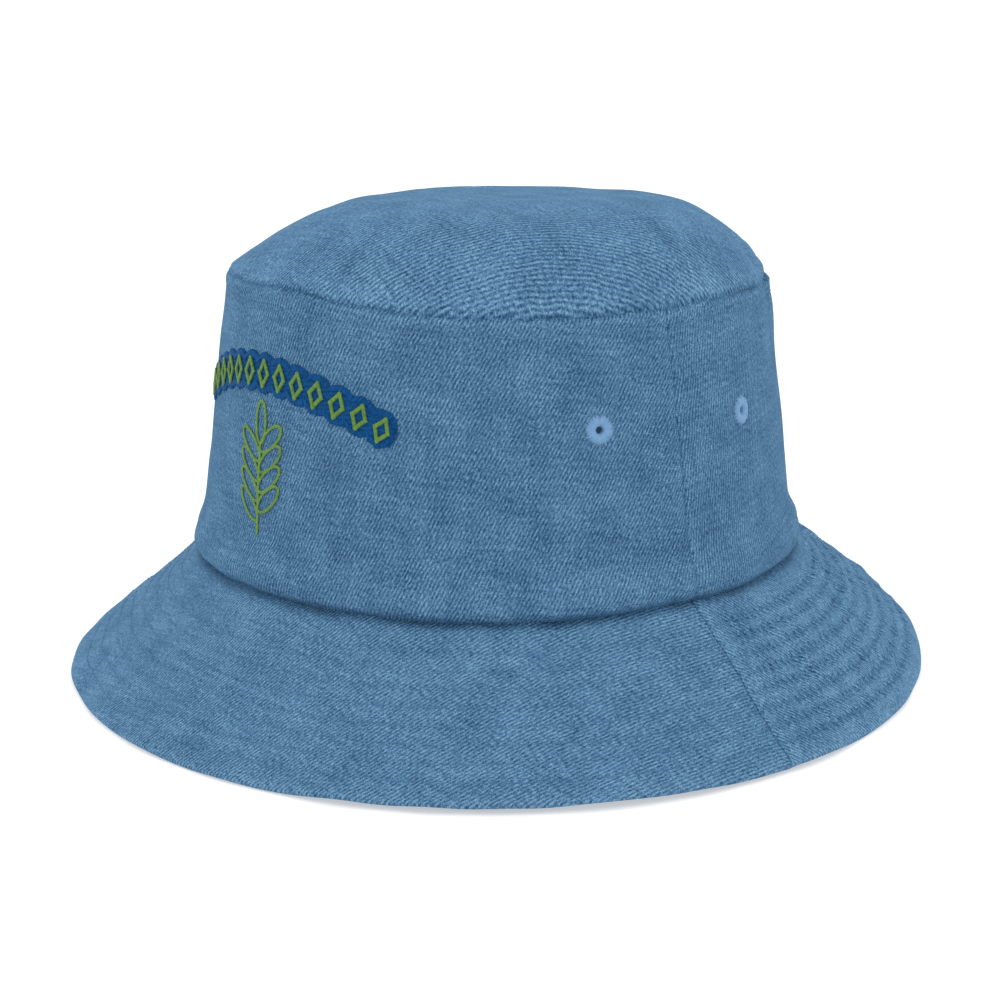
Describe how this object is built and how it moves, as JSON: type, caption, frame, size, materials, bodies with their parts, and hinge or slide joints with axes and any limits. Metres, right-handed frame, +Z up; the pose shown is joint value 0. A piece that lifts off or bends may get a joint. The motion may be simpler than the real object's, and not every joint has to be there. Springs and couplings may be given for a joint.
{
  "type": "bucket hat",
  "caption": "Soft bucket hat of blue denim: oval crown with a domed top, sloping quilted brim, sewn vent eyelets and front embroidery.",
  "frame": {"origin": "middle of the flat ring on which the brim's edge rests, on the hat's upright middle line", "axes": "+Z up through the crown, -Y out of the front (the embroidered side), +X towards the wearer's left"},
  "size_m": [0.2758, 0.2818, 0.148],
  "materials": {
    "denim": "washed right-hand twill denim, matt",
    "interlining": "stiff non-woven, matt",
    "sweatband_twill": "fine cotton twill, matt",
    "seam_tape": "plain woven tape, matt",
    "embroidery_backing": "soft non-woven, matt",
    "blue_thread": "satin stitch in rayon thread, soft sheen",
    "green_thread": "satin stitch in rayon thread, soft sheen",
    "eyelet_thread": "satin stitch in rayon thread, soft sheen",
    "sewing_thread": "spun polyester thread, matt",
    "label_satin": "woven satin ribbon, slight sheen"
  },
  "bodies": {
    "hat": {"brim_bobbin_thread": "sewing_thread", "brim_interlining_back": "interlining", "brim_interlining_front": "interlining", "brim_lower_back": "denim", "brim_lower_front": "denim", "brim_quilting_thread": "sewing_thread", "brim_upper_back": "denim", "brim_upper_front": "denim", "care_label_thread": "sewing_thread", "crown_back": "denim", "crown_front": "denim", "crown_seam_tape": "seam_tape", "crown_top": "denim", "crown_topstitch_thread": "sewing_thread", "embroidery_backing": "embroidery_backing", "embroidery_band": "blue_thread", "embroidery_lozenges": "green_thread", "embroidery_sprig": "green_thread", "eyelet_left_back": "eyelet_thread", "eyelet_left_front": "eyelet_thread", "eyelet_right_back": "eyelet_thread", "eyelet_right_front": "eyelet_thread", "side_seam_tape_left": "seam_tape", "side_seam_tape_right": "seam_tape", "sweatband": "sweatband_twill"},
    "label": {"care_label": "label_satin"}
  },
  "joints": [
    {"name": "label_flip", "type": "hinge", "parent": "hat", "child": "label", "pos_m": [0, 0.09157, 0.0721], "axis": [-1, 0, 0], "range_deg": [0, 150]}
  ]
}
